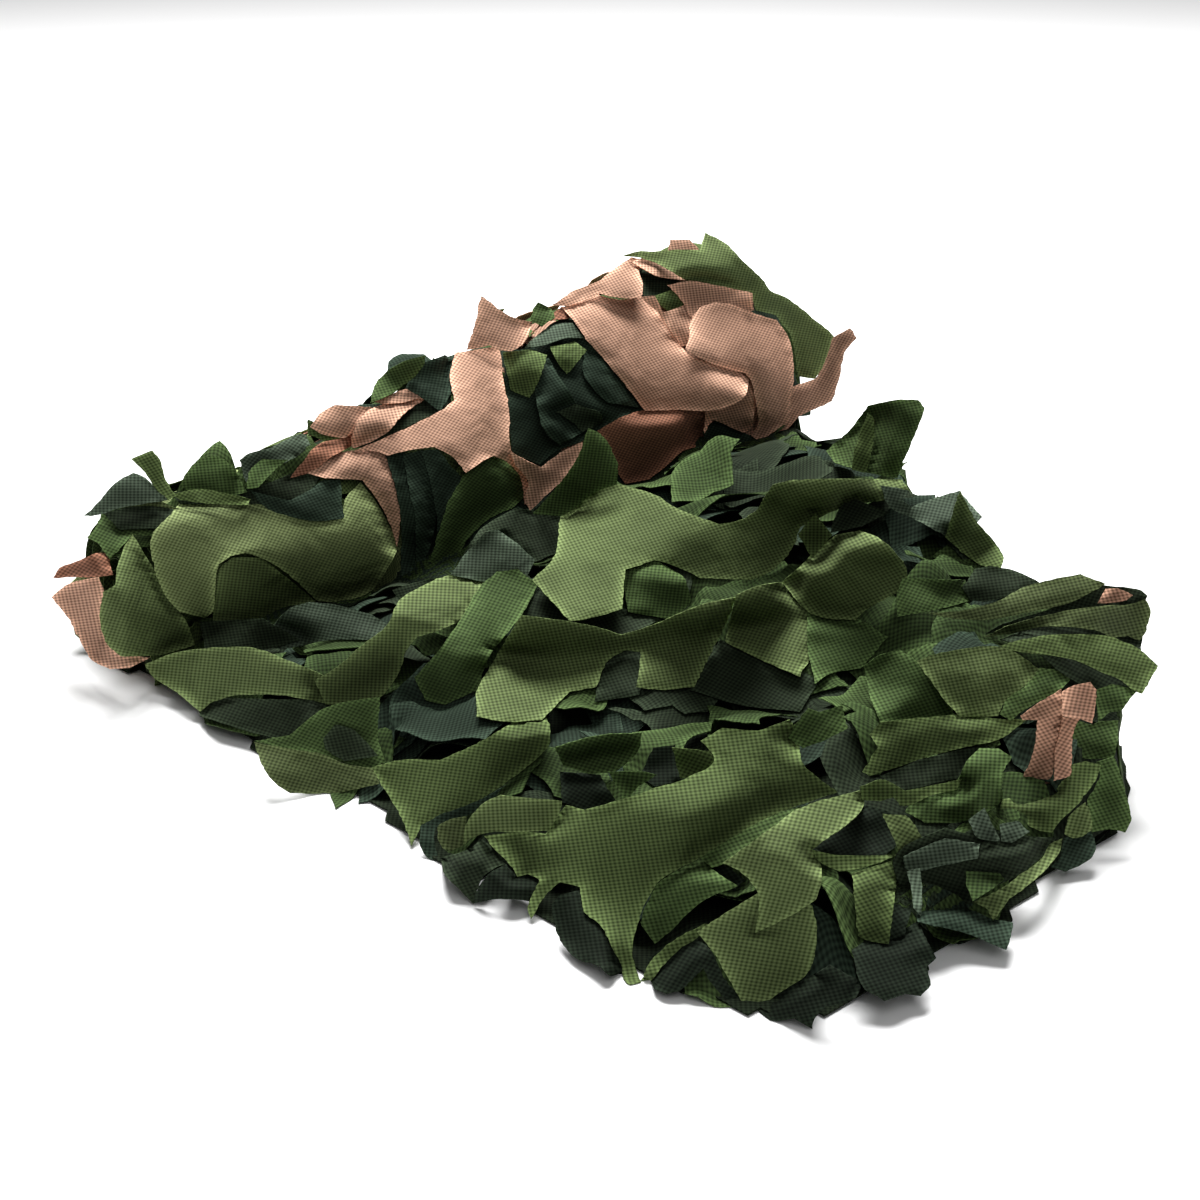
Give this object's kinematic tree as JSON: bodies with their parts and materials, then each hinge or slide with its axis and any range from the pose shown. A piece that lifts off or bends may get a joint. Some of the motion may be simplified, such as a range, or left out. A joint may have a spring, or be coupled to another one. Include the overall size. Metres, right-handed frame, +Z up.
{
  "type": "camouflage net",
  "caption": "Leaf-cut camouflage cloth net, rolled up from one end with its folded tail laid out flat in front of the roll.",
  "frame": {"origin": "on the surface the net rests on, at the middle of the flat spot under the roll", "axes": "+X along the roll to its thick end, -Y out along the folded tail, +Z up"},
  "size_m": [0.3155, 0.338, 0.088],
  "materials": {
    "cloth": "matt woven polyester, printed green, brown and black-green"
  },
  "bodies": {
    "root": {"camouflage_net": "cloth"}
  },
  "joints": []
}
